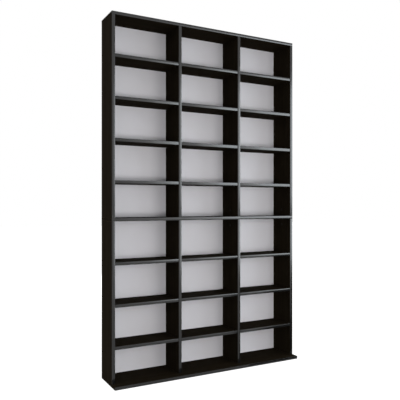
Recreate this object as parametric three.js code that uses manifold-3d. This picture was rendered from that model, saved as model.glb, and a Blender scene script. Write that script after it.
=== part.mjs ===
// A tall media tower of black melamine-faced board. Three bays stand side by side, with loose shelves on pins.
// A middle plate joins the lower and the upper storey, and a deeper plate carries them on the floor.
// Lengths are in millimetres. X runs across the width, Y from the front to the back and Z up.
// The origin lies on the floor, under the middle of the whole tower.
import * as THREE from 'three';
import { mergeVertices } from 'three/addons/utils/BufferGeometryUtils.js';
import Module from 'manifold-3d';

const wasm = await Module();
wasm.setup();

// Boards
const boardThickness = 15;
const boardEase = 0.5;
const backThickness = 3;
const backInset = 2;
const backSeam = 1;

// The whole tower
const bayNames = ['left', 'centre', 'right'];
const bayWidth = 320;
const carcassDepth = 180;
const baseLip = 50;
const lowerUprightHeight = 770;
const upperUprightHeight = 965;

// Loose shelves, and the clear heights under the lowest shelf of each storey
const lowerShelfRows = 3;
const upperShelfRows = 4;
const lowerFirstOpening = 160;
const upperFirstOpening = 165;
const shelfPitch = 200;
const shelfSetback = 1.5;
const shelfRearGap = 1.5;
const shelfEndGap = 0.5;

// Shelf pins, and the spare holes above and below each pin
const pinDiameter = 5;
const pinReach = 8;
const pinColumnInset = 37;
const pinSides = 8;
const spareHoleStep = 25;
const spareHoleDepth = 8;
const holeSides = 6;

// Wooden dowels in the ends of the uprights
const dowelDiameter = 8;
const dowelReach = 7;
const dowelInset = 32;
const dowelSides = 6;

// Screws through the outer plates
const screwLength = 50;
const screwDiameter = 6.4;
const screwHeadDiameter = 10;
const screwHeadDepth = 1.5;
const screwConeDepth = 2.5;
const screwTipLength = 4;
const screwTipDiameter = 3;
const screwSocketWidth = 4;
const screwSocketDepth = 3;

// Double-ended bolts through the middle plate, and the cams that grip their heads
const boltDiameter = 7;
const boltNeckDiameter = 4.4;
const boltHeadDiameter = 6.6;
const boltHeadLength = 2.5;
const camDiameter = 15;
const camInset = 34;
const pocketFloor = 3;
const camChamberDiameter = 10;
const camSlotLength = 9;
const camSlotWidth = 2;
const camSlotDepth = 1.6;
const camTurn = THREE.MathUtils.degToRad(120);
const camSlotSteps = 4;
const metalSides = 12;
const socketSides = 6;

// Clearances
const seatGap = 0.3;
const fitGap = 0.3;
const overrun = 1;

// Places that follow from the sizes above
const dividerPitch = boardThickness + bayWidth;
const towerWidth = bayNames.length * dividerPitch + boardThickness;
const towerDepth = baseLip + carcassDepth + backThickness;
const carcassFrontY = baseLip - towerDepth / 2;
const carcassMiddleY = carcassFrontY + carcassDepth / 2;
const carcassRearY = carcassFrontY + carcassDepth;
const middlePlateZ = boardThickness + lowerUprightHeight;
const topPlateZ = middlePlateZ + boardThickness + upperUprightHeight;
const towerHeight = topPlateZ + boardThickness;
const uprightNames = ['left_side', 'left_divider', 'right_divider', 'right_side'];
const dowelPlaces = [dowelInset - carcassDepth / 2, carcassDepth / 2 - dowelInset];
const pinPlaces = [pinColumnInset - carcassDepth / 2, carcassDepth / 2 - pinColumnInset];
const camLength = boardThickness - pocketFloor - seatGap - fitGap;

const lowerStorey = {
  name: 'lower',
  floorZ: boardThickness,
  height: lowerUprightHeight,
  rows: lowerShelfRows,
  firstOpening: lowerFirstOpening,
  camEnd: 1,
};
const upperStorey = {
  name: 'upper',
  floorZ: middlePlateZ + boardThickness,
  height: upperUprightHeight,
  rows: upperShelfRows,
  firstOpening: upperFirstOpening,
  camEnd: -1,
};
const storeys = [lowerStorey, upperStorey];

const melamine = new THREE.MeshStandardMaterial({ color: 0x1d1713, roughness: 0.42 });
const hardboard = new THREE.MeshStandardMaterial({ color: 0xb9bbc3, roughness: 0.6 });
const zinc = new THREE.MeshStandardMaterial({ color: 0x8f9194, roughness: 0.4, metalness: 1 });
const steel = new THREE.MeshStandardMaterial({ color: 0xa8aaad, roughness: 0.3, metalness: 1 });

// Closed geometry to solid and back, for joins and cuts
function solidOf(geometry) {
  const bare = geometry.clone();
  bare.deleteAttribute('normal');
  bare.deleteAttribute('uv');
  const merged = mergeVertices(bare);
  const vertProperties = new Float32Array(merged.attributes.position.array);
  const triVerts = new Uint32Array(merged.index.array);
  return new wasm.Manifold(new wasm.Mesh({ numProp: 3, vertProperties, triVerts }));
}

function geometryOf(solid) {
  const { vertProperties, triVerts } = solid.getMesh();
  const geometry = new THREE.BufferGeometry();
  geometry.setAttribute('position', new THREE.BufferAttribute(vertProperties, 3));
  geometry.setIndex(new THREE.BufferAttribute(triVerts, 1));
  return geometry;
}

function placed(geometry, x, y, z) {
  geometry.translate(x, y, z);
  return solidOf(geometry);
}

// A board with eased edges, centred in X and Y, with its underside at zero
function easedBoard(length, width) {
  const outline = new THREE.Shape();
  outline.moveTo(-length / 2, -width / 2);
  outline.lineTo(length / 2, -width / 2);
  outline.lineTo(length / 2, width / 2);
  outline.lineTo(-length / 2, width / 2);
  const board = new THREE.ExtrudeGeometry(outline, {
    depth: boardThickness - 2 * boardEase,
    bevelThickness: boardEase,
    bevelSize: boardEase,
    bevelOffset: -boardEase,
    bevelSegments: 1,
  });
  board.translate(0, 0, boardEase);
  return board;
}

// A round bar or drill, centred on the origin, whose diameter is measured across its flats
function roundBar(diameter, length, sides, axis) {
  const cornerRadius = diameter / 2 / Math.cos(Math.PI / sides);
  const bar = new THREE.CylinderGeometry(cornerRadius, cornerRadius, length, sides);
  bar.rotateY(Math.PI / sides);
  if (axis === 'x') {
    bar.rotateZ(Math.PI / 2);
  }
  if (axis === 'z') {
    bar.rotateX(Math.PI / 2);
  }
  return bar;
}

function uprightX(index) {
  return (boardThickness - towerWidth) / 2 + index * dividerPitch;
}

function shelfUndersides(storey) {
  return Array.from({ length: storey.rows }, (_, row) => storey.firstOpening + row * shelfPitch);
}

// Uprights stand on Z zero, centred in X and Y. Face 1 is the right one and face -1 the left one.
function pinSolid(face, y, z) {
  const length = pinReach + overrun;
  const x = face * (boardThickness / 2 + pinReach - length / 2);
  return placed(roundBar(pinDiameter, length, pinSides, 'x'), x, y, z);
}

// A divider has shelves on both faces, so its spare holes go right through
function spareHole(faces, y, z) {
  const through = faces.length > 1;
  const length = through ? boardThickness + 2 * overrun : spareHoleDepth + overrun;
  const x = through ? 0 : faces[0] * (boardThickness / 2 + overrun - length / 2);
  return placed(roundBar(pinDiameter, length, holeSides, 'x'), x, y, z);
}

function withShelfPins(upright, storey, faces) {
  let drilled = upright;
  for (const underside of shelfUndersides(storey)) {
    const z = underside - seatGap - pinDiameter / 2;
    for (const y of pinPlaces) {
      for (const face of faces) {
        drilled = drilled.add(pinSolid(face, y, z));
      }
      for (const step of [-spareHoleStep, spareHoleStep]) {
        drilled = drilled.subtract(spareHole(faces, y, z + step));
      }
    }
  }
  return drilled;
}

function withDowels(upright, storey) {
  let doweled = upright;
  const length = dowelReach + overrun;
  for (const y of dowelPlaces) {
    for (const z of [length / 2 - dowelReach, storey.height + dowelReach - length / 2]) {
      doweled = doweled.add(placed(roundBar(dowelDiameter, length, dowelSides, 'z'), 0, y, z));
    }
  }
  return doweled;
}

// The end that meets the middle plate has a bore for the joining bolt and a pocket for its cam
function withCamPocket(upright, storey, camFace) {
  const endZ = storey.camEnd > 0 ? storey.height : 0;
  const camZ = endZ - storey.camEnd * camInset;
  const boreLength = camInset + overrun;
  const boreZ = endZ + storey.camEnd * (overrun - boreLength / 2);
  const bore = placed(roundBar(boltDiameter + 2 * fitGap, boreLength, metalSides, 'z'), 0, 0, boreZ);
  const pocketLength = boardThickness - pocketFloor + overrun;
  const pocketX = camFace * (boardThickness / 2 + overrun - pocketLength / 2);
  const pocketBar = roundBar(camDiameter + 2 * fitGap, pocketLength, metalSides, 'x');
  return upright.subtract(bore).subtract(placed(pocketBar, pocketX, 0, camZ));
}

// The other end has a bore for the screw that comes through the outer plate
function withScrewBore(upright, storey) {
  const endZ = storey.camEnd > 0 ? 0 : storey.height;
  const boreDepth = screwLength - boardThickness + seatGap + fitGap;
  const boreLength = boreDepth + overrun;
  const boreZ = endZ + storey.camEnd * (boreLength / 2 - overrun);
  const boreBar = roundBar(screwDiameter + 2 * fitGap, boreLength, metalSides, 'z');
  return upright.subtract(placed(boreBar, 0, 0, boreZ));
}

function uprightGeometry(storey, faces, camFace) {
  const blank = easedBoard(storey.height, carcassDepth);
  blank.rotateY(-Math.PI / 2);
  let upright = placed(blank, boardThickness / 2, 0, storey.height / 2);
  upright = withShelfPins(upright, storey, faces);
  upright = withDowels(upright, storey);
  upright = withCamPocket(upright, storey, camFace);
  upright = withScrewBore(upright, storey);
  return geometryOf(upright);
}

// Plates lie on Z zero. The carcass is centred on their origin, so the base plate's lip reaches past it.
function plateBlank(lip) {
  const blank = easedBoard(towerWidth, carcassDepth + lip);
  return placed(blank, 0, -lip / 2, 0);
}

function dowelHole(x, y, depth, face) {
  const length = depth + overrun;
  const z = face > 0 ? boardThickness + overrun - length / 2 : length / 2 - overrun;
  return placed(roundBar(dowelDiameter + 2 * fitGap, length, dowelSides, 'z'), x, y, z);
}

// A stepped screw hole. Face is the side that the screw's head lies in: 1 for the top and -1 for the underside.
function screwHole(x, face) {
  const shankBar = roundBar(screwDiameter + 2 * fitGap, boardThickness + 2 * overrun, metalSides, 'z');
  const shank = placed(shankBar, x, 0, boardThickness / 2);
  const headDepth = seatGap + screwHeadDepth + screwConeDepth + fitGap;
  const headLength = headDepth + overrun;
  const headZ = face > 0 ? boardThickness + overrun - headLength / 2 : headLength / 2 - overrun;
  const headBar = roundBar(screwHeadDiameter + 2 * fitGap, headLength, metalSides, 'z');
  return shank.add(placed(headBar, x, 0, headZ));
}

// Face is the side of an outer plate that its screws start from. The uprights meet the other one.
function outerPlateGeometry(lip, face) {
  let plate = plateBlank(lip);
  for (let index = 0; index < uprightNames.length; index += 1) {
    const x = uprightX(index);
    plate = plate.subtract(screwHole(x, face));
    for (const y of dowelPlaces) {
      plate = plate.subtract(dowelHole(x, y, dowelReach + fitGap, -face));
    }
  }
  return geometryOf(plate);
}

function middlePlateGeometry() {
  let plate = plateBlank(0);
  const throughLength = boardThickness + 2 * overrun;
  for (let index = 0; index < uprightNames.length; index += 1) {
    const x = uprightX(index);
    const boltBar = roundBar(boltDiameter + 2 * fitGap, throughLength, metalSides, 'z');
    plate = plate.subtract(placed(boltBar, x, 0, boardThickness / 2));
    for (const y of dowelPlaces) {
      plate = plate.subtract(dowelHole(x, y, boardThickness + overrun, 1));
    }
  }
  return geometryOf(plate);
}

function shelfGeometry() {
  return easedBoard(bayWidth - 2 * shelfEndGap, carcassDepth - shelfSetback - shelfRearGap);
}

// A back panel between two heights and two places across the width, nailed on the rear edges
function backGeometry(width, height) {
  const panel = new THREE.BoxGeometry(width, backThickness, height);
  panel.translate(0, backThickness / 2, height / 2);
  return panel;
}

// A turned piece from its outline, given as pairs of a radius and a height
function turned(outline) {
  const points = outline.map(([radius, height]) => new THREE.Vector2(radius, height));
  const piece = new THREE.LatheGeometry(points, metalSides);
  piece.rotateY(Math.PI / metalSides);
  piece.rotateX(Math.PI / 2);
  return piece;
}

// A countersunk screw with its head's face at Z zero, pointing up
function screwGeometry() {
  const shankTop = screwHeadDepth + screwConeDepth;
  const body = solidOf(turned([
    [0, 0],
    [screwHeadDiameter / 2, 0],
    [screwHeadDiameter / 2, screwHeadDepth],
    [screwDiameter / 2, shankTop],
    [screwDiameter / 2, screwLength - screwTipLength],
    [screwTipDiameter / 2, screwLength],
    [0, screwLength],
  ]));
  const socketLength = screwSocketDepth + overrun;
  const socket = placed(roundBar(screwSocketWidth, socketLength, socketSides, 'z'), 0, 0,
    screwSocketDepth - socketLength / 2);
  return geometryOf(body.subtract(socket));
}

// How far from the cam's axis the bolt's head bears on the round wall of the cam's chamber
const headSeat = Math.sqrt(camChamberDiameter ** 2 - boltHeadDiameter ** 2) / 2 - fitGap;

// A bolt with a head at each end, centred on the middle plate
function boltGeometry() {
  const headRadius = boltHeadDiameter / 2;
  const neckRadius = boltNeckDiameter / 2;
  const shaftRadius = boltDiameter / 2;
  const camZ = boardThickness / 2 + camInset;
  const neckStart = camZ - camDiameter / 2 - 2 * fitGap;
  const headStart = camZ - headSeat;
  const headEnd = headStart + boltHeadLength;
  const upperHalf = [
    [shaftRadius, neckStart],
    [neckRadius, neckStart],
    [neckRadius, headStart],
    [headRadius, headStart],
    [headRadius, headEnd],
    [0, headEnd],
  ];
  const lowerHalf = upperHalf.map(([radius, height]) => [radius, -height]).reverse();
  return turned([...lowerHalf, ...upperHalf]);
}

// A slot through the cam's wall, between two angles from the upward direction, which lets part of the bolt past
function wallSlot(width, startAngle, endAngle, boltX) {
  const outerRadius = camDiameter / 2 + overrun;
  const innerRadius = camChamberDiameter / 2 - overrun;
  const outline = new THREE.Shape();
  outline.absarc(0, 0, outerRadius, startAngle, endAngle, false);
  outline.absarc(0, 0, innerRadius, endAngle, startAngle, true);
  const slot = new THREE.ExtrudeGeometry(outline, {
    depth: width,
    bevelEnabled: false,
    curveSegments: camSlotSteps,
  });
  slot.translate(0, 0, -width / 2);
  slot.rotateY(-Math.PI / 2);
  return placed(slot, boltX, 0, 0);
}

// A cam with its axis along X and its screwdriver face at X zero. The bolt reaches in from above.
function camGeometry() {
  const boltX = seatGap - boardThickness / 2;
  const headWidth = boltHeadDiameter + 2 * fitGap;
  const neckWidth = boltNeckDiameter + 2 * fitGap;
  const neckHalfAngle = Math.asin(neckWidth / camChamberDiameter);
  const headHalfAngle = Math.asin(headWidth / camChamberDiameter);
  let cam = placed(roundBar(camDiameter, camLength, metalSides, 'x'), -camLength / 2, 0, 0);
  cam = cam.subtract(placed(roundBar(camChamberDiameter, headWidth, metalSides, 'x'), boltX, 0, 0));
  cam = cam.subtract(wallSlot(neckWidth, -neckHalfAngle, camTurn, boltX));
  cam = cam.subtract(wallSlot(headWidth, camTurn - headHalfAngle, camTurn + headHalfAngle, boltX));
  const slotDepth = camSlotDepth + overrun;
  const slotX = overrun - slotDepth / 2;
  cam = cam.subtract(placed(new THREE.BoxGeometry(slotDepth, camSlotLength, camSlotWidth), slotX, 0, 0));
  cam = cam.subtract(placed(new THREE.BoxGeometry(slotDepth, camSlotWidth, camSlotLength), slotX, 0, 0));
  return geometryOf(cam);
}

const tower = new THREE.Group();

function addPiece(name, geometry, material, x, y, z) {
  const piece = new THREE.Mesh(geometry, material);
  piece.name = name;
  piece.position.set(x, y, z);
  tower.add(piece);
  return piece;
}

function addPlates() {
  addPiece('base_plate', outerPlateGeometry(baseLip, -1), melamine, 0, carcassMiddleY, 0);
  addPiece('middle_plate', middlePlateGeometry(), melamine, 0, carcassMiddleY, middlePlateZ);
  addPiece('top_plate', outerPlateGeometry(0, 1), melamine, 0, carcassMiddleY, topPlateZ);
}

function addUprights(storey) {
  uprightNames.forEach((uprightName, index) => {
    const leftmost = index === 0;
    const rightmost = index === uprightNames.length - 1;
    const faces = [leftmost ? 0 : -1, rightmost ? 0 : 1].filter((face) => face !== 0);
    const x = uprightX(index);
    const camFace = -Math.sign(x);
    const upright = uprightGeometry(storey, faces, camFace);
    addPiece(`${storey.name}_${uprightName}`, upright, melamine, x, carcassMiddleY, storey.floorZ);
    addCam(storey, index, x, camFace);
  });
}

// Every cam is turned from the face that looks towards the middle of the tower
function addCam(storey, index, x, camFace) {
  const camX = x + camFace * (boardThickness / 2 - seatGap);
  const endZ = storey.camEnd > 0 ? storey.floorZ + storey.height : storey.floorZ;
  const camZ = endZ - storey.camEnd * camInset;
  const cam = addPiece(`${storey.name}_cam_${index + 1}`, camGeometry(), zinc, camX, carcassMiddleY, camZ);
  cam.rotation.x = storey.camEnd > 0 ? 0 : Math.PI;
  cam.rotation.z = camFace > 0 ? 0 : Math.PI;
}

function addJoiningBolts() {
  const z = middlePlateZ + boardThickness / 2;
  uprightNames.forEach((uprightName, index) => {
    addPiece(`joining_bolt_${index + 1}`, boltGeometry(), steel, uprightX(index), carcassMiddleY, z);
  });
}

function addScrews() {
  uprightNames.forEach((uprightName, index) => {
    const x = uprightX(index);
    addPiece(`base_screw_${index + 1}`, screwGeometry(), steel, x, carcassMiddleY, seatGap);
    const topZ = towerHeight - seatGap;
    const topScrew = addPiece(`top_screw_${index + 1}`, screwGeometry(), steel, x, carcassMiddleY, topZ);
    topScrew.rotation.x = Math.PI;
  });
}

function addShelves(storey) {
  const y = carcassMiddleY + (shelfSetback - shelfRearGap) / 2;
  bayNames.forEach((bayName, bay) => {
    const x = uprightX(bay) + dividerPitch / 2;
    shelfUndersides(storey).forEach((underside, row) => {
      const name = `${storey.name}_${bayName}_shelf_${row + 1}`;
      addPiece(name, shelfGeometry(), melamine, x, y, storey.floorZ + underside);
    });
  });
}

function addBacks(storey) {
  const seamZ = middlePlateZ + boardThickness / 2;
  const lowest = storey === lowerStorey ? backInset : seamZ + backSeam / 2;
  const highest = storey === lowerStorey ? seamZ - backSeam / 2 : towerHeight - backInset;
  bayNames.forEach((bayName, bay) => {
    const leftmost = bay === 0;
    const rightmost = bay === bayNames.length - 1;
    const leftX = leftmost ? backInset - towerWidth / 2 : uprightX(bay) + backSeam / 2;
    const rightX = rightmost ? towerWidth / 2 - backInset : uprightX(bay + 1) - backSeam / 2;
    const panel = backGeometry(rightX - leftX, highest - lowest);
    addPiece(`${storey.name}_${bayName}_back`, panel, hardboard, (leftX + rightX) / 2, carcassRearY, lowest);
  });
}

addPlates();
storeys.forEach(addUprights);
addJoiningBolts();
addScrews();
storeys.forEach(addShelves);
storeys.forEach(addBacks);

export default tower;
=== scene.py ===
# Looks of the tall black media tower: board foil, edging, grey back panels and small fittings.
import math

import bmesh
import bpy
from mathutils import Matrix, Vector


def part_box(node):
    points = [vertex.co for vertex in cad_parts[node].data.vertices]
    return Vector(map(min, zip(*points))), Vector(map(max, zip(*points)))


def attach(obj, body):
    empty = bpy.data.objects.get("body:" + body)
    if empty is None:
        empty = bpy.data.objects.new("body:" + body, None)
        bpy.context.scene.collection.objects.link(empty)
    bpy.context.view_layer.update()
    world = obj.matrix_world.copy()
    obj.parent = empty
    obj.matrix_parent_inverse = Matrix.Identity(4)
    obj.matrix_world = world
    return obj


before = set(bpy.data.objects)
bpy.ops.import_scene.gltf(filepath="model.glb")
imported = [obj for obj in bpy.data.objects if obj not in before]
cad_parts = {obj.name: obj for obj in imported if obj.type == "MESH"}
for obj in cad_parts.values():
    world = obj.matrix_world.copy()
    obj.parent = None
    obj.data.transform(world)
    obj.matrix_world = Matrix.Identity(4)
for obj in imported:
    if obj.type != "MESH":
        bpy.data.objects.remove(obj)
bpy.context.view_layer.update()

BODY = "carcass"
MM = 0.001
QUARTER_TURN = math.pi / 2
SMOOTH_ANGLE = 50
FACING_UP = 0.99
WHITE = (1, 1, 1, 1)

# Depth of the finest relief: pores, rubbed marks, orange peel and mould grain
FINE_BUMP = 0.04 * MM

# Boards, by the names of their nodes or what those end with
PLATES = ("base_plate", "middle_plate", "top_plate")
UPRIGHT_ENDINGS = ("_side", "_divider")
STOREY_PLATES = {"lower": ("base_plate", "middle_plate"), "upper": ("middle_plate", "top_plate")}
BAYS = ("left", "centre", "right")
WALLS = ("left_side", "left_divider", "right_divider", "right_side")
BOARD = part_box("base_plate")[1].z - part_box("base_plate")[0].z

# Camera, measured in the photograph's frame of 400 by 400 pixels
FRAME_PX = 400
FRAME_MIDDLE_SHARE = 0.5
SENSOR_MM = 36
FOCAL_PX = 567.8
HORIZON_PX = 204.2
AXIS_PX = 284.3
CAMERA_SPOT = (-1.272, -2.7577, 0.8661)
CAMERA_TURN = math.radians(-32.7)

# Matt foil on the broad faces of the boards
FOIL_DARK = (0.0112, 0.0083, 0.0049, 1)
FOIL_LIGHT = (0.0172, 0.0128, 0.0077, 1)
# Lighter colour of the arrises: partly wear, partly a painted edge highlight
FOIL_WORN_AND_HIGHLIT = (0.036, 0.030, 0.024, 1)
FOIL_ROUGH = 0.74
FOIL_PORE_ROUGH = 0.86
FOIL_SPECULAR = 0.005
FOIL_WEAR_AND_HIGHLIGHT = 0.5
GRAIN_STRETCH = (5, 70, 70)
PORE_STRETCH = (60, 1100, 1100)

# Edging strips glued to the front of every board, smoother than the foil
STRIP_THICKNESS = 0.6 * MM
STRIP_ROUNDING = 0.4 * MM
STRIP_ROUNDING_STEPS = 2
EDGING_COLOR = (0.0050, 0.0050, 0.0050, 1)
EDGING_LIGHT = (0.0070, 0.0070, 0.0070, 1)
# Lighter colour of the arrises: partly wear, partly a painted edge highlight
EDGING_WORN_AND_HIGHLIT = (0.018, 0.0175, 0.017, 1)
EDGING_ROUGH = 0.16
EDGING_SMEAR_ROUGH = 0.20
EDGING_SPECULAR = 0.55
EDGING_WEAR_AND_HIGHLIGHT = 0.6

# Slopes of the edging's slight crown, along the board and across it, at the strip's ends and sides. The
# crown is a parabola, which falls by half of that slope times its half width. Its height is in metres, so the
# distance of its bump is 1.
PARABOLA_FALL = -0.5
CROWN_BUMP = 1
SHELF_CROWN = (0.105, 0.13)
PLATE_CROWN = (0.055, 0.13)
BASE_CROWN = (0.055, 0.05)
UPRIGHT_CROWN = (0.08, 0.16)

# Raw chipboard behind the back panels and between the boards
RAW_MARGIN = 0.1 * MM
CHIP_DARK = (0.16, 0.095, 0.05, 1)
CHIP_LIGHT = (0.42, 0.29, 0.17, 1)
CHIP_ROUGH = 0.85
CHIP_SIZE = 2.5 * MM

# Dust on what faces up, from the slope where it starts to the one where it is full
DUST_COLOR = (0.085, 0.080, 0.075, 1)
DUST_SHARE = 0.006
DUST_SLOPES = (0.6, 0.95)

# Rubbed arrises: facets whose normal has no part longer than this. Their lighter colour is partly wear and
# partly a painted edge highlight.
ARRIS_TURN = 0.85

# Back panels, lacquered in front and raw behind. The front is where the normal's Y part is under the turn.
BACK_FRONT_TURN = -0.5
BACK_LACQUER = (0.70, 0.695, 0.735, 1)
BACK_LACQUER_DEEP = (0.67, 0.664, 0.695, 1)
BACK_RAW_DARK = (0.13, 0.075, 0.038, 1)
BACK_RAW_LIGHT = (0.26, 0.165, 0.092, 1)
BACK_ROUGH = 0.55
BACK_RAW_ROUGH = 0.8
BACK_SPECULAR = 0.25
SCREEN_PITCH = 1.6 * MM
SCREEN_BUMP = 0.12 * MM
PEEL_SCALE = 320
PEEL_DETAIL = 2

# Metals and black plastic
ZINC_DARK = (0.26, 0.26, 0.27, 1)
ZINC_LIGHT = (0.42, 0.42, 0.43, 1)
STEEL_DARK = (0.48, 0.48, 0.50, 1)
STEEL_LIGHT = (0.66, 0.66, 0.68, 1)
ZINC_ROUGH = 0.45
STEEL_ROUGH = 0.3
MARK_ROUGHENING = 0.2
MARK_STRETCH = (300, 6000, 6000)
MARK_SCALE = 1
MARK_DETAIL = 2
TARNISH_SCALE = 260.0
TARNISH_DETAIL = 5
TARNISH_LEVELS = (0.35, 0.65)
PLASTIC_DARK = (0.0095, 0.0078, 0.0062, 1)
PLASTIC_LIGHT = (0.0145, 0.0120, 0.0095, 1)
PLASTIC_ROUGH = 0.6
PLASTIC_GRAIN_ROUGH = 0.8
PLASTIC_SPECULAR = 0.04
MOULD_GRAIN_SCALE = 2600
MOULD_GRAIN_DETAIL = 2

# Patterns of noise: waves in a metre, detail, and the levels that become 0 and 1. Grain and pores are drawn
# out beforehand, so their stretch gives the waves in a metre.
GRAIN_WAVES = (1, 4, 0.3, 0.7)
PORE_WAVES = (1, 1, 0.52, 0.66)
ARRIS_PATCHES = (38, 4, 0.42, 0.68)
DUST_CLOUDS = (14, 5, 0.3, 0.75)
DUST_SPECKS = (900, 1, 0.62, 0.72)
EDGING_CLOUDS = (9, 4, 0.3, 0.7)
EDGING_SMEARS = (25, 3, 0.35, 0.7)
LACQUER_CLOUDS = (6, 4, 0.3, 0.7)
RAW_FIBRES = (220, 5, 0.3, 0.7)
PLASTIC_CLOUDS = (90, 3, 0.3, 0.7)

# Sleeves on the shelf pins
PIN_COLUMN_INSET = 37 * MM
PIN_DROP = 2.8 * MM
SLEEVE_RADIUS = 2.72 * MM
SLEEVE_LENGTH = 8.7 * MM
SLEEVE_ROOT = 0.1 * MM
SLEEVE_RIM = 0.7 * MM
SLEEVE_RIM_STEPS = 2
SLEEVE_DIMPLE_INSET = 0.9 * MM
SLEEVE_DIMPLE_DEPTH = 0.4 * MM
SLEEVE_SIDES = 12

# Caps over the cams and over the screws in the top plate
CAM_CAP_RADIUS = 8.8 * MM
CAM_CAP_THICKNESS = 0.9 * MM
SCREW_CAP_RADIUS = 6.8 * MM
SCREW_CAP_THICKNESS = 1.2 * MM
CAP_SIDES = 32
CAP_RIM = 0.4 * MM
CAP_RIM_STEPS = 3
CAP_RING_INSET = 2.2 * MM
CAP_RING_DEPTH = 0.25 * MM

# Nails round the back panels
NAIL_RADIUS = 2.1 * MM
NAIL_HEAD = 0.6 * MM
NAIL_RIM = 0.2 * MM
NAIL_RIM_STEPS = 1
NAIL_DISH_INSET = 0.9 * MM
NAIL_DISH_DEPTH = 0.15 * MM
NAIL_SIDES = 10
NAIL_EDGE_INSET = 3.5 * MM
NAIL_STEP = 165 * MM

# Light: an even room, soft lamps in front and one behind. The three edge lamps stand side by side at the
# right and grow stronger to the right. They show only in gloss, and those marked as matt only light matt
# surfaces. Each lamp has a name, a spot, the point that it faces, its width and height, its watts, its
# colour and its mark.
ROOM_LEVEL = 0.71
FLOOR_SIZE = 40
FLOOR_COLOR = (0.40, 0.40, 0.40, 1)
FLOOR_GLOW = 0.9
FLOOR_GLOSS_GLOW = 0.49
LAMPS = (
    ("front_lamp", (-0.8, -4.3, 0.35), (0.1, 0, 0.9), (1.3, 0.6), 53, (1, 0.98, 0.965), "matt"),
    ("near_lamp", (0.6, -2.5, 0.95), (0.1, 0, 0.9), (0.9, 0.7), 13.5, (1, 0.98, 0.965), "matt"),
    ("right_lamp", (3.2, -3.4, 0.8), (0, 0, 1.2), (2.0, 1.0), 38, (0.88, 0.955, 1), "matt"),
    ("rear_lamp", (0.2, 4.3, 1.6), (0.2, 0, 0.9), (1.4, 1.8), 70, (1, 1, 1), "both"),
    ("first_edge_lamp", (1.12, -4.94, 1.4), (0, 0, 1.4), (1.3, 2.6), 7, (0.95, 0.98, 1), "gloss"),
    ("second_edge_lamp", (2.11, -4.6, 1.5), (0, 0, 1.5), (0.95, 2.8), 21, (0.92, 0.97, 1), "gloss"),
    ("third_edge_lamp", (3.5, -3.72, 1.6), (0, 0, 1.6), (2.5, 2.6), 110, (0.88, 0.955, 1), "gloss"),
)

# Painted shade: a black card on the floor at the right, which shows only in gloss and darkens what the edging
# reflects there
SHADE_CARD_HEIGHT = 4 * MM
SHADE_CARD_CORNERS = ((0.2, -0.125), (0.36, -0.3), (0.72, -0.78), (2.85, -3.9), (4.5, -3.9), (4.5, -0.125))
SHADE_CARD_COLOR = (0.01, 0.01, 0.01, 1)


def add_node(tree, kind, **settings):
    """A shader node with its settings."""
    node = tree.nodes.new(kind)
    for name, value in settings.items():
        setattr(node, name, value)
    return node


def feed(tree, value, socket):
    """Link an output to a socket, or set the socket's own value."""
    if isinstance(value, bpy.types.NodeSocket):
        tree.links.new(value, socket)
    else:
        socket.default_value = value


def math_node(tree, operation, *values):
    node = add_node(tree, "ShaderNodeMath", operation=operation)
    for value, socket in zip(values, node.inputs):
        feed(tree, value, socket)
    return node.outputs[0]


def vector_node(tree, operation, *values):
    node = add_node(tree, "ShaderNodeVectorMath", operation=operation)
    for value, socket in zip(values, node.inputs):
        feed(tree, value, socket)
    return node.outputs[0]


def split_node(tree, vector):
    """The X, Y and Z parts of a vector."""
    node = add_node(tree, "ShaderNodeSeparateXYZ")
    feed(tree, vector, node.inputs[0])
    return node.outputs


def facing_node(tree):
    """The surface's normal in the object's own frame."""
    return add_node(tree, "ShaderNodeTexCoord").outputs["Normal"]


def noise_node(tree, vector, scale, detail):
    node = add_node(tree, "ShaderNodeTexNoise")
    feed(tree, vector, node.inputs["Vector"])
    node.inputs["Scale"].default_value = scale
    node.inputs["Detail"].default_value = detail
    return node.outputs["Fac"]


def ramp_node(tree, value, low, high):
    """The value stretched so that low becomes 0 and high becomes 1."""
    node = add_node(tree, "ShaderNodeMapRange", clamp=True)
    feed(tree, value, node.inputs["Value"])
    node.inputs["From Min"].default_value = low
    node.inputs["From Max"].default_value = high
    return node.outputs["Result"]


def pattern_node(tree, vector, pattern):
    """A pattern of noise as a mask from 0 to 1."""
    scale, detail, low, high = pattern
    return ramp_node(tree, noise_node(tree, vector, scale, detail), low, high)


def mix_color(tree, share, first, second):
    node = add_node(tree, "ShaderNodeMix", data_type="RGBA")
    feed(tree, share, node.inputs["Factor"])
    colors = [socket for socket in node.inputs if socket.type == "RGBA"]
    feed(tree, first, colors[0])
    feed(tree, second, colors[1])
    return next(socket for socket in node.outputs if socket.type == "RGBA")


def mix_value(tree, share, first, second):
    node = add_node(tree, "ShaderNodeMix", data_type="FLOAT")
    feed(tree, share, node.inputs["Factor"])
    feed(tree, first, node.inputs["A"])
    feed(tree, second, node.inputs["B"])
    return node.outputs["Result"]


def bump_node(tree, height, distance, before=None):
    node = add_node(tree, "ShaderNodeBump")
    feed(tree, height, node.inputs["Height"])
    node.inputs["Distance"].default_value = distance
    if before is not None:
        feed(tree, before, node.inputs["Normal"])
    return node.outputs["Normal"]


def new_group(name, inputs, outputs):
    """A shader node group with named sockets, and its two end nodes."""
    group = bpy.data.node_groups.new(name, "ShaderNodeTree")
    for label, kind in inputs:
        group.interface.new_socket(label, in_out="INPUT", socket_type=kind)
    for label, kind in outputs:
        group.interface.new_socket(label, in_out="OUTPUT", socket_type=kind)
    start = add_node(group, "NodeGroupInput")
    end = add_node(group, "NodeGroupOutput")
    return group, start.outputs, end.inputs


def use_group(tree, group, **values):
    """A group placed in a material. Underscores in the names stand for spaces."""
    node = add_node(tree, "ShaderNodeGroup", node_tree=group)
    for name, value in values.items():
        feed(tree, value, node.inputs[name.replace("_", " ")])
    return node.outputs


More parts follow.
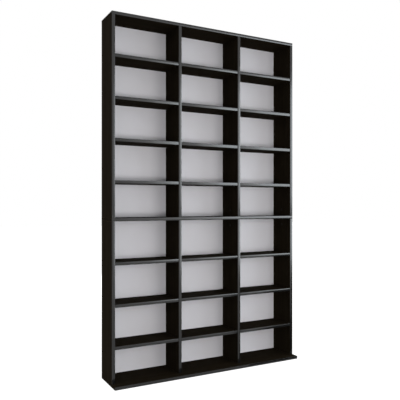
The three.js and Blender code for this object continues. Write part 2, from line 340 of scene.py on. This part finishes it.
def grain_group():
    """Fine wood grain pressed into foil, drawn out along the local X axis."""
    group, given, out = new_group(
        "pressed_grain",
        [("Place", "NodeSocketVector")],
        [("Tone", "NodeSocketFloat"), ("Pores", "NodeSocketFloat")],
    )
    drawn = vector_node(group, "MULTIPLY", given["Place"], GRAIN_STRETCH)
    feed(group, pattern_node(group, drawn, GRAIN_WAVES), out["Tone"])
    fine = vector_node(group, "MULTIPLY", given["Place"], PORE_STRETCH)
    feed(group, pattern_node(group, fine, PORE_WAVES), out["Pores"])
    return group


def arris_wear_and_highlight_group():
    """Rubbed arrises: the slanted facets along the edges of a board, where the noise lets them show. They are
    lighter, partly from wear and partly as a painted edge highlight.
    """
    group, given, out = new_group(
        "rubbed_and_highlit_arris",
        [("Place", "NodeSocketVector"), ("Amount", "NodeSocketFloat")],
        [("Mask", "NodeSocketFloat")],
    )
    parts = split_node(group, vector_node(group, "ABSOLUTE", facing_node(group)))
    widest = math_node(group, "MAXIMUM", parts["X"], parts["Y"])
    widest = math_node(group, "MAXIMUM", widest, parts["Z"])
    slanted = math_node(group, "LESS_THAN", widest, ARRIS_TURN)
    patches = pattern_node(group, given["Place"], ARRIS_PATCHES)
    worn_and_highlit = math_node(group, "MULTIPLY", slanted, patches)
    feed(group, math_node(group, "MULTIPLY", worn_and_highlit, given["Amount"]), out["Mask"])
    return group


def dust_group():
    """A thin film of dust on what faces up, in clouds and specks."""
    group, given, out = new_group(
        "dust_film",
        [("Place", "NodeSocketVector"), ("Amount", "NodeSocketFloat")],
        [("Mask", "NodeSocketFloat")],
    )
    upward = ramp_node(group, split_node(group, facing_node(group))["Z"], *DUST_SLOPES)
    clouds = pattern_node(group, given["Place"], DUST_CLOUDS)
    specks = pattern_node(group, given["Place"], DUST_SPECKS)
    film = math_node(group, "MAXIMUM", clouds, specks)
    laid = math_node(group, "MULTIPLY", upward, film)
    feed(group, math_node(group, "MULTIPLY", laid, given["Amount"]), out["Mask"])
    return group


def raw_edge_group():
    """Where a board is raw: its rear edge and its ends. Place is measured from the board's middle."""
    group, given, out = new_group(
        "raw_edge",
        [
            ("Place", "NodeSocketVector"),
            ("Half", "NodeSocketVector"),
            ("Raw Rear", "NodeSocketFloat"),
            ("Raw Ends", "NodeSocketFloat"),
        ],
        [("Mask", "NodeSocketFloat")],
    )
    spot = split_node(group, given["Place"])
    half = split_node(group, given["Half"])
    rear_line = math_node(group, "SUBTRACT", half["Y"], RAW_MARGIN)
    rear = math_node(group, "GREATER_THAN", spot["Y"], rear_line)
    rear = math_node(group, "MULTIPLY", rear, given["Raw Rear"])
    end_line = math_node(group, "SUBTRACT", half["X"], RAW_MARGIN)
    ends = math_node(group, "GREATER_THAN", math_node(group, "ABSOLUTE", spot["X"]), end_line)
    ends = math_node(group, "MULTIPLY", ends, given["Raw Ends"])
    feed(group, math_node(group, "MAXIMUM", rear, ends), out["Mask"])
    return group


def crown_group():
    """The slight crown of pressed-on edging, as a height that falls away from the middle of the edge."""
    group, given, out = new_group(
        "edging_crown",
        [
            ("Place", "NodeSocketVector"),
            ("Half", "NodeSocketVector"),
            ("Along", "NodeSocketFloat"),
            ("Across", "NodeSocketFloat"),
        ],
        [("Height", "NodeSocketFloat")],
    )
    spot = split_node(group, given["Place"])
    half = split_node(group, given["Half"])
    fall = []
    for axis, slope in (("X", "Along"), ("Z", "Across")):
        square = math_node(group, "MULTIPLY", spot[axis], spot[axis])
        drop = math_node(group, "DIVIDE", square, half[axis])
        drop = math_node(group, "MULTIPLY", drop, given[slope])
        fall.append(math_node(group, "MULTIPLY", drop, PARABOLA_FALL))
    feed(group, math_node(group, "ADD", *fall), out["Height"])
    return group


def marks_group():
    """Fine rubbed marks and cloudy tarnish of small metal fittings."""
    group, given, out = new_group(
        "metal_marks",
        [("Place", "NodeSocketVector"), ("Scale", "NodeSocketFloat")],
        [("Tarnish", "NodeSocketFloat"), ("Marks", "NodeSocketFloat")],
    )
    clouds = add_node(group, "ShaderNodeTexNoise")
    feed(group, given["Place"], clouds.inputs["Vector"])
    feed(group, given["Scale"], clouds.inputs["Scale"])
    clouds.inputs["Detail"].default_value = TARNISH_DETAIL
    feed(group, ramp_node(group, clouds.outputs["Fac"], *TARNISH_LEVELS), out["Tarnish"])
    drawn = vector_node(group, "MULTIPLY", given["Place"], MARK_STRETCH)
    feed(group, noise_node(group, drawn, MARK_SCALE, MARK_DETAIL), out["Marks"])
    return group


GRAIN = grain_group()
ARRIS_WEAR_AND_HIGHLIGHT = arris_wear_and_highlight_group()
DUST = dust_group()
RAW_EDGE = raw_edge_group()
CROWN = crown_group()
MARKS = marks_group()


def empty_material(name):
    """A material with nothing in it, its nodes and the socket that its shader goes to."""
    material = bpy.data.materials.new(name)
    material.use_nodes = True
    tree = material.node_tree
    tree.nodes.clear()
    output = add_node(tree, "ShaderNodeOutputMaterial")
    return material, tree, output.inputs["Surface"]


def new_material(name):
    """A material with a Principled shader, its nodes, the shader's sockets and the Object coordinates."""
    material, tree, end = empty_material(name)
    surface = add_node(tree, "ShaderNodeBsdfPrincipled")
    feed(tree, surface.outputs["BSDF"], end)
    place = add_node(tree, "ShaderNodeTexCoord")
    return material, tree, surface.inputs, place.outputs["Object"]


def is_upright(name):
    return name.endswith(UPRIGHT_ENDINGS)


def board_box(name):
    """Lowest and highest corner of a board. An upright's pins and dowels reach past it and don't count."""
    low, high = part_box(name)
    if is_upright(name):
        under, over = STOREY_PLATES[name.split("_")[0]]
        low.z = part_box(under)[1].z
        high.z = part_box(over)[0].z
        middle = (low.x + high.x) / 2
        if name.endswith("left_side"):
            middle = low.x + BOARD / 2
        elif name.endswith("right_side"):
            middle = high.x - BOARD / 2
        low.x = middle - BOARD / 2
        high.x = middle + BOARD / 2
    return low, high


def centred_place(tree, place, middle, stands):
    """Place measured from a board's middle, with X along the board and Z through its thickness."""
    centred = add_node(tree, "ShaderNodeMapping", vector_type="TEXTURE")
    centred.inputs["Location"].default_value = middle
    if stands:
        centred.inputs["Rotation"].default_value = (0, -QUARTER_TURN, 0)
    feed(tree, place, centred.inputs["Vector"])
    return centred.outputs[0]


def foil_material(name, middle, half, stands, raw_rear, raw_ends):
    """Black foil with raw chipboard where it ends. Its grain runs along the board and differs on each."""
    material, tree, surface, place = new_material(f"{name}_foil")
    place = centred_place(tree, place, middle, stands)
    grain = use_group(tree, GRAIN, Place=vector_node(tree, "ADD", place, middle))
    raw = use_group(tree, RAW_EDGE, Place=place, Half=half, Raw_Rear=raw_rear, Raw_Ends=raw_ends)["Mask"]
    worn_and_highlit = use_group(tree, ARRIS_WEAR_AND_HIGHLIGHT, Place=place, Amount=FOIL_WEAR_AND_HIGHLIGHT)["Mask"]
    dust = use_group(tree, DUST, Place=place, Amount=DUST_SHARE)["Mask"]

    foil = mix_color(tree, grain["Tone"], FOIL_DARK, FOIL_LIGHT)
    # Lighter arrises: partly wear, partly a painted edge highlight
    foil = mix_color(tree, worn_and_highlit, foil, FOIL_WORN_AND_HIGHLIT)
    chips = add_node(tree, "ShaderNodeTexVoronoi")
    chips.inputs["Scale"].default_value = 1 / CHIP_SIZE
    feed(tree, place, chips.inputs["Vector"])
    chip_tone = split_node(tree, chips.outputs["Color"])["X"]
    chipboard = mix_color(tree, chip_tone, CHIP_DARK, CHIP_LIGHT)
    color = mix_color(tree, raw, foil, chipboard)
    feed(tree, mix_color(tree, dust, color, DUST_COLOR), surface["Base Color"])

    rough = mix_value(tree, grain["Pores"], FOIL_ROUGH, FOIL_PORE_ROUGH)
    feed(tree, mix_value(tree, raw, rough, CHIP_ROUGH), surface["Roughness"])
    surface["Specular IOR Level"].default_value = FOIL_SPECULAR
    pits = math_node(tree, "MULTIPLY", grain["Pores"], math_node(tree, "SUBTRACT", raw, 1))
    feed(tree, bump_node(tree, pits, FINE_BUMP), surface["Normal"])
    return material


def edging_material(name, middle, half, stands, crown):
    """Black plastic edging with a satin gloss, pressed on with a slight crown and smeared here and there."""
    material, tree, surface, place = new_material(f"{name}_edging")
    place = centred_place(tree, place, middle, stands)
    worn_and_highlit = use_group(tree, ARRIS_WEAR_AND_HIGHLIGHT, Place=place, Amount=EDGING_WEAR_AND_HIGHLIGHT)["Mask"]
    height = use_group(tree, CROWN, Place=place, Half=half, Along=crown[0], Across=crown[1])["Height"]
    color = mix_color(tree, pattern_node(tree, place, EDGING_CLOUDS), EDGING_COLOR, EDGING_LIGHT)
    # Lighter arrises: partly wear, partly a painted edge highlight
    feed(tree, mix_color(tree, worn_and_highlit, color, EDGING_WORN_AND_HIGHLIT), surface["Base Color"])
    smears = pattern_node(tree, place, EDGING_SMEARS)
    feed(tree, mix_value(tree, smears, EDGING_ROUGH, EDGING_SMEAR_ROUGH), surface["Roughness"])
    surface["Specular IOR Level"].default_value = EDGING_SPECULAR
    feed(tree, bump_node(tree, height, CROWN_BUMP), surface["Normal"])
    return material


def back_material():
    """Hardboard with a lacquered face. The raw side has the print of a screen."""
    material, tree, surface, place = new_material("lacquered_hardboard")
    raw = math_node(tree, "GREATER_THAN", split_node(tree, facing_node(tree))["Y"], BACK_FRONT_TURN)

    lacquer = mix_color(tree, pattern_node(tree, place, LACQUER_CLOUDS), BACK_LACQUER, BACK_LACQUER_DEEP)
    brown = mix_color(tree, pattern_node(tree, place, RAW_FIBRES), BACK_RAW_DARK, BACK_RAW_LIGHT)
    feed(tree, mix_color(tree, raw, lacquer, brown), surface["Base Color"])
    feed(tree, mix_value(tree, raw, BACK_ROUGH, BACK_RAW_ROUGH), surface["Roughness"])
    surface["Specular IOR Level"].default_value = BACK_SPECULAR

    turns = math.tau / SCREEN_PITCH
    spot = split_node(tree, vector_node(tree, "MULTIPLY", place, (turns, turns, turns)))
    wires = [math_node(tree, "SINE", spot[axis]) for axis in ("X", "Z")]
    screen = math_node(tree, "MAXIMUM", *wires)
    screen = math_node(tree, "MULTIPLY", screen, raw)
    pitted = bump_node(tree, screen, SCREEN_BUMP)
    orange_peel = noise_node(tree, place, PEEL_SCALE, PEEL_DETAIL)
    feed(tree, bump_node(tree, orange_peel, FINE_BUMP, pitted), surface["Normal"])
    return material


def metal_material(name, dark, light, roughness):
    """Plated or cast metal with tarnish and rubbed marks."""
    material, tree, surface, place = new_material(name)
    marks = use_group(tree, MARKS, Place=place, Scale=TARNISH_SCALE)
    feed(tree, mix_color(tree, marks["Tarnish"], light, dark), surface["Base Color"])
    rubbed = mix_value(tree, marks["Marks"], roughness, roughness + MARK_ROUGHENING)
    feed(tree, rubbed, surface["Roughness"])
    feed(tree, bump_node(tree, marks["Marks"], FINE_BUMP), surface["Normal"])
    surface["Metallic"].default_value = 1
    return material


def plastic_material():
    """Black plastic with the fine grain of its mould."""
    material, tree, surface, place = new_material("moulded_black_plastic")
    clouds = pattern_node(tree, place, PLASTIC_CLOUDS)
    feed(tree, mix_color(tree, clouds, PLASTIC_DARK, PLASTIC_LIGHT), surface["Base Color"])
    grain = noise_node(tree, place, MOULD_GRAIN_SCALE, MOULD_GRAIN_DETAIL)
    feed(tree, mix_value(tree, grain, PLASTIC_ROUGH, PLASTIC_GRAIN_ROUGH), surface["Roughness"])
    feed(tree, bump_node(tree, grain, FINE_BUMP), surface["Normal"])
    surface["Specular IOR Level"].default_value = PLASTIC_SPECULAR
    return material


def board_facts(name):
    """A board's middle, its half size with X along it and Z through its thickness, and whether it stands."""
    low, high = board_box(name)
    middle = (low + high) / 2
    half = (high - low) / 2
    stands = is_upright(name)
    if stands:
        half = Vector((half.z, half.y, half.x))
    return middle, half, stands


def paint_board(name):
    """Each board has a material of its own, because its raw edges are measured from its middle."""
    middle, half, stands = board_facts(name)
    raw_rear = float(stands or name in PLATES)
    raw_ends = float(stands)
    return foil_material(name, middle, half, stands, raw_rear, raw_ends)


def paint_cad(zinc, steel):
    """A material for every CAD node, by what it is."""
    back = back_material()
    for name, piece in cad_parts.items():
        if name.endswith("_back"):
            material = back
        elif "_cam_" in name:
            material = zinc
        elif "_bolt_" in name or "_screw_" in name:
            material = steel
        else:
            material = paint_board(name)
        piece.data.materials.clear()
        piece.data.materials.append(material)


def pick_faces(piece, test):
    """In edit mode, select only the faces that pass the test."""
    bpy.ops.mesh.select_mode(type="FACE")
    bpy.ops.mesh.select_all(action="DESELECT")
    mesh = bmesh.from_edit_mesh(piece.data)
    for face in mesh.faces:
        if test(face):
            face.select_set(True)
    bmesh.update_edit_mesh(piece.data)


def pick_edges(piece, test):
    """In edit mode, select only the edges that pass the test."""
    bpy.ops.mesh.select_mode(type="EDGE")
    bpy.ops.mesh.select_all(action="DESELECT")
    mesh = bmesh.from_edit_mesh(piece.data)
    for edge in mesh.edges:
        if test(edge):
            edge.select_set(True)
    bmesh.update_edit_mesh(piece.data)


def round_button(name, radius, thickness, sides, root, rim, rim_steps, dish_inset, dish_depth):
    """A button that stands on the plane Z = 0: a disc with a rounded rim and a shallow dish in its face."""
    bpy.ops.object.select_all(action="DESELECT")
    depth = thickness + root
    middle = (0, 0, (thickness - root) / 2)
    bpy.ops.mesh.primitive_cylinder_add(vertices=sides, radius=radius, depth=depth, location=middle)
    piece = bpy.context.object
    piece.name = name
    bpy.ops.object.transform_apply(location=True, rotation=True, scale=True)
    bpy.ops.object.mode_set(mode="EDIT")
    pick_edges(piece, lambda edge: all(vert.co.z > middle[2] for vert in edge.verts))
    bpy.ops.mesh.bevel(offset=rim, segments=rim_steps, affect="EDGES")
    pick_faces(piece, lambda face: face.normal.z > FACING_UP)
    bpy.ops.mesh.inset(thickness=dish_inset)
    bpy.ops.mesh.inset(thickness=dish_depth, depth=-dish_depth)
    bpy.ops.object.mode_set(mode="OBJECT")
    bpy.ops.object.shade_smooth_by_angle(angle=math.radians(SMOOTH_ANGLE))
    return piece


def copy_to(model, name, places, material):
    """One piece made of copies of the model. Each place is a spot and the direction that the button faces."""
    bpy.ops.object.select_all(action="DESELECT")
    copies = []
    for spot, facing in places:
        copy = model.copy()
        copy.data = model.data.copy()
        copy.location = spot
        copy.rotation_euler = Vector(facing).to_track_quat("Z", "Y").to_euler()
        bpy.context.scene.collection.objects.link(copy)
        copy.select_set(True)
        copies.append(copy)
    bpy.context.view_layer.objects.active = copies[-1]
    if len(copies) > 1:
        bpy.ops.object.join()
    bpy.ops.object.transform_apply(location=True, rotation=True, scale=True)
    piece = bpy.context.object
    piece.name = name
    piece.data.name = name
    piece.data.materials.clear()
    piece.data.materials.append(material)
    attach(piece, BODY)
    return piece


def body_of_board(name):
    """A shelf is a body of its own, and every other board belongs to the carcass."""
    return name if "_shelf_" in name else BODY


def crown_of(name):
    if is_upright(name):
        return UPRIGHT_CROWN
    if name == "base_plate":
        return BASE_CROWN
    if name in PLATES:
        return PLATE_CROWN
    return SHELF_CROWN


def add_edging(name):
    """The edging strip on the front of one board: a thin bar with its front edges rounded."""
    low, high = board_box(name)
    middle, half, stands = board_facts(name)
    bpy.ops.object.select_all(action="DESELECT")
    spot = (middle.x, low.y - STRIP_THICKNESS / 2, middle.z)
    bpy.ops.mesh.primitive_cube_add(size=1, location=spot)
    strip = bpy.context.object
    strip.name = f"{name}_edging"
    strip.scale = (high.x - low.x, STRIP_THICKNESS, high.z - low.z)
    bpy.ops.object.transform_apply(location=True, rotation=True, scale=True)
    bpy.ops.object.mode_set(mode="EDIT")
    front = low.y - STRIP_THICKNESS / 2
    pick_edges(strip, lambda edge: all(vert.co.y < front for vert in edge.verts))
    bpy.ops.mesh.bevel(offset=STRIP_ROUNDING, segments=STRIP_ROUNDING_STEPS, affect="EDGES")
    bpy.ops.object.mode_set(mode="OBJECT")
    bpy.ops.object.shade_smooth_by_angle(angle=math.radians(SMOOTH_ANGLE))
    bpy.ops.object.modifier_add(type="WEIGHTED_NORMAL")
    strip.modifiers[-1].keep_sharp = True
    bpy.ops.object.modifier_apply(modifier=strip.modifiers[-1].name)
    strip.data.materials.clear()
    strip.data.materials.append(edging_material(name, middle, half, stands, crown_of(name)))
    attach(strip, body_of_board(name))


def is_board(name):
    return is_upright(name) or name in PLATES or "_shelf_" in name


def nodes_starting(start):
    return sorted(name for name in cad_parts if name.startswith(start))


def add_pin_sleeves(plastic):
    """Black sleeves on the four pins of every shelf."""
    model = round_button(
        "pin_sleeve_model", SLEEVE_RADIUS, SLEEVE_LENGTH, SLEEVE_SIDES, SLEEVE_ROOT,
        SLEEVE_RIM, SLEEVE_RIM_STEPS, SLEEVE_DIMPLE_INSET, SLEEVE_DIMPLE_DEPTH,
    )
    for storey in STOREY_PLATES:
        walls = [board_box(f"{storey}_{wall}") for wall in WALLS]
        columns = (walls[0][0].y + PIN_COLUMN_INSET, walls[0][1].y - PIN_COLUMN_INSET)
        for bay, left_wall, right_wall in zip(BAYS, walls, walls[1:]):
            places = []
            for shelf in nodes_starting(f"{storey}_{bay}_shelf_"):
                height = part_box(shelf)[0].z - PIN_DROP
                for column in columns:
                    places.append(((left_wall[1].x, column, height), (1, 0, 0)))
                    places.append(((right_wall[0].x, column, height), (-1, 0, 0)))
            copy_to(model, f"{storey}_{bay}_pin_sleeves", places, plastic)
    bpy.data.objects.remove(model)


def cap_model(name, radius, thickness):
    """A flat cap with a rounded rim, which lies on the face that it covers."""
    return round_button(
        name, radius, thickness, CAP_SIDES, 0, CAP_RIM, CAP_RIM_STEPS, CAP_RING_INSET, CAP_RING_DEPTH,
    )


def add_cam_caps(plastic):
    """A black cap over each cam, on the face that looks towards the middle of the tower."""
    model = cap_model("cam_cap_model", CAM_CAP_RADIUS, CAM_CAP_THICKNESS)
    for storey in STOREY_PLATES:
        for number, wall in enumerate(WALLS, 1):
            low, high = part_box(f"{storey}_cam_{number}")
            middle = (low + high) / 2
            board_low, board_high = board_box(f"{storey}_{wall}")
            inward = 1 if middle.x < 0 else -1
            face = board_high.x if inward > 0 else board_low.x
            place = ((face, middle.y, middle.z), (inward, 0, 0))
            copy_to(model, f"{storey}_cam_cap_{number}", [place], plastic)
    bpy.data.objects.remove(model)


def add_screw_caps(plastic):
    """A black cap over each screw in the top plate."""
    model = cap_model("screw_cap_model", SCREW_CAP_RADIUS, SCREW_CAP_THICKNESS)
    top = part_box("top_plate")[1].z
    for name in nodes_starting("top_screw_"):
        low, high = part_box(name)
        middle = (low + high) / 2
        place = ((middle.x, middle.y, top), (0, 0, 1))
        copy_to(model, name.replace("screw", "screw_cap"), [place], plastic)
    bpy.data.objects.remove(model)


def nail_places(name):
    """Nails down both long edges of a back panel, and across its ends."""
    low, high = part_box(name)
    left, right = low.x + NAIL_EDGE_INSET, high.x - NAIL_EDGE_INSET
    bottom, top = low.z + NAIL_EDGE_INSET, high.z - NAIL_EDGE_INSET
    up_steps = round((top - bottom) / NAIL_STEP)
    across_steps = round((right - left) / NAIL_STEP)
    rises = [bottom + (top - bottom) * step / up_steps for step in range(up_steps + 1)]
    runs = [left + (right - left) * step / across_steps for step in range(1, across_steps)]
    spots = [(x, high.y, z) for x in (left, right) for z in rises]
    spots += [(x, high.y, z) for z in (bottom, top) for x in runs]
    return [(spot, (0, 1, 0)) for spot in spots]


def add_nails(steel):
    """Flat-headed nails round every back panel."""
    model = round_button(
        "nail_model", NAIL_RADIUS, NAIL_HEAD, NAIL_SIDES, 0,
        NAIL_RIM, NAIL_RIM_STEPS, NAIL_DISH_INSET, NAIL_DISH_DEPTH,
    )
    for name in sorted(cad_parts):
        if name.endswith("_back"):
            copy_to(model, f"{name}_nails", nail_places(name), steel)
    bpy.data.objects.remove(model)


def make_camera():
    """The photograph's camera: level, turned to the right, with the picture shifted to its place."""
    data = bpy.data.cameras.new("camera")
    data.sensor_width = SENSOR_MM
    data.lens = FOCAL_PX * SENSOR_MM / FRAME_PX
    data.shift_x = FRAME_MIDDLE_SHARE - AXIS_PX / FRAME_PX
    data.shift_y = HORIZON_PX / FRAME_PX - FRAME_MIDDLE_SHARE
    camera = bpy.data.objects.new("camera", data)
    camera.location = CAMERA_SPOT
    camera.rotation_euler = (QUARTER_TURN, 0, CAMERA_TURN)
    bpy.context.scene.collection.objects.link(camera)
    bpy.context.scene.camera = camera


def add_lamp(name, spot, target, size, watts, color, shows_in):
    """A soft rectangular lamp that the camera doesn't see. It shows in matt surfaces, in gloss or in both."""
    data = bpy.data.lights.new(name, "AREA")
    data.shape = "RECTANGLE"
    data.size, data.size_y = size
    data.energy = watts
    data.color = color
    lamp = bpy.data.objects.new(name, data)
    lamp.location = spot
    aim = Vector(target) - Vector(spot)
    lamp.rotation_euler = aim.to_track_quat("-Z", "Y").to_euler()
    lamp.visible_camera = False
    lamp.visible_glossy = shows_in != "matt"
    lamp.visible_diffuse = shows_in != "gloss"
    bpy.context.scene.collection.objects.link(lamp)


def sees_background(tree):
    """1 for the rays that show the white background: the camera's, and those that gloss and glass pass on."""
    path = add_node(tree, "ShaderNodeLightPath")
    seen = math_node(tree, "MAXIMUM", path.outputs["Is Camera Ray"], path.outputs["Is Glossy Ray"])
    return math_node(tree, "MAXIMUM", seen, path.outputs["Is Transmission Ray"])


def make_world():
    """An even room that lights the object, and a white one that is seen."""
    world = bpy.data.worlds.new("studio")
    bpy.context.scene.world = world
    world.use_nodes = True
    tree = world.node_tree
    tree.nodes.clear()
    light = add_node(tree, "ShaderNodeBackground")
    light.inputs["Color"].default_value = WHITE
    light.inputs["Strength"].default_value = ROOM_LEVEL
    seen = add_node(tree, "ShaderNodeBackground")
    seen.inputs["Color"].default_value = WHITE
    pick = add_node(tree, "ShaderNodeMixShader")
    output = add_node(tree, "ShaderNodeOutputWorld")
    feed(tree, sees_background(tree), pick.inputs[0])
    feed(tree, light.outputs[0], pick.inputs[1])
    feed(tree, seen.outputs[0], pick.inputs[2])
    feed(tree, pick.outputs[0], output.inputs["Surface"])


def make_floor():
    """A floor that keeps the object's shadow. Its glow makes it white to the camera and paler in gloss."""
    bpy.ops.object.select_all(action="DESELECT")
    bpy.ops.mesh.primitive_plane_add(size=FLOOR_SIZE)
    floor = bpy.context.object
    floor.name = "floor"
    material, tree, end = empty_material("pale_floor")
    matt = add_node(tree, "ShaderNodeBsdfDiffuse")
    matt.inputs["Color"].default_value = FLOOR_COLOR
    glow = add_node(tree, "ShaderNodeEmission")
    path = add_node(tree, "ShaderNodeLightPath")
    reflected = math_node(tree, "MAXIMUM", path.outputs["Is Glossy Ray"], path.outputs["Is Transmission Ray"])
    reflected = math_node(tree, "MULTIPLY", reflected, FLOOR_GLOSS_GLOW)
    seen = math_node(tree, "MULTIPLY", path.outputs["Is Camera Ray"], FLOOR_GLOW)
    feed(tree, math_node(tree, "MAXIMUM", seen, reflected), glow.inputs["Strength"])
    both = add_node(tree, "ShaderNodeAddShader")
    feed(tree, matt.outputs[0], both.inputs[0])
    feed(tree, glow.outputs[0], both.inputs[1])
    feed(tree, both.outputs[0], end)
    floor.data.materials.append(material)


def make_painted_shade_card():
    """A black card of painted shade on the floor, which darkens what the edging reflects at the lower right.
    """
    sheet = bpy.data.meshes.new("painted_shade_card")
    corners = [(x, y, SHADE_CARD_HEIGHT) for x, y in SHADE_CARD_CORNERS]
    sheet.from_pydata(corners, [], [range(len(corners))])
    card = bpy.data.objects.new("painted_shade_card", sheet)
    bpy.context.scene.collection.objects.link(card)
    material, tree, end = empty_material("painted_shade_card_material")
    matt = add_node(tree, "ShaderNodeBsdfDiffuse")
    # Painted shade, seen only in reflections
    matt.inputs["Color"].default_value = SHADE_CARD_COLOR
    feed(tree, matt.outputs[0], end)
    card.data.materials.append(material)
    card.visible_camera = False
    card.visible_diffuse = False
    card.visible_transmission = False
    card.visible_shadow = False


make_camera()
bpy.ops.object.select_all(action="DESELECT")
zinc_material = metal_material("die_cast_zinc", ZINC_DARK, ZINC_LIGHT, ZINC_ROUGH)
steel_material = metal_material("plated_steel", STEEL_DARK, STEEL_LIGHT, STEEL_ROUGH)
black_plastic = plastic_material()
paint_cad(zinc_material, steel_material)
for board_name in sorted(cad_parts):
    if is_board(board_name):
        add_edging(board_name)
add_pin_sleeves(black_plastic)
add_cam_caps(black_plastic)
add_screw_caps(black_plastic)
add_nails(steel_material)
make_world()
make_floor()
make_painted_shade_card()
for lamp_values in LAMPS:
    add_lamp(*lamp_values)
bpy.context.scene.view_settings.view_transform = "Standard"
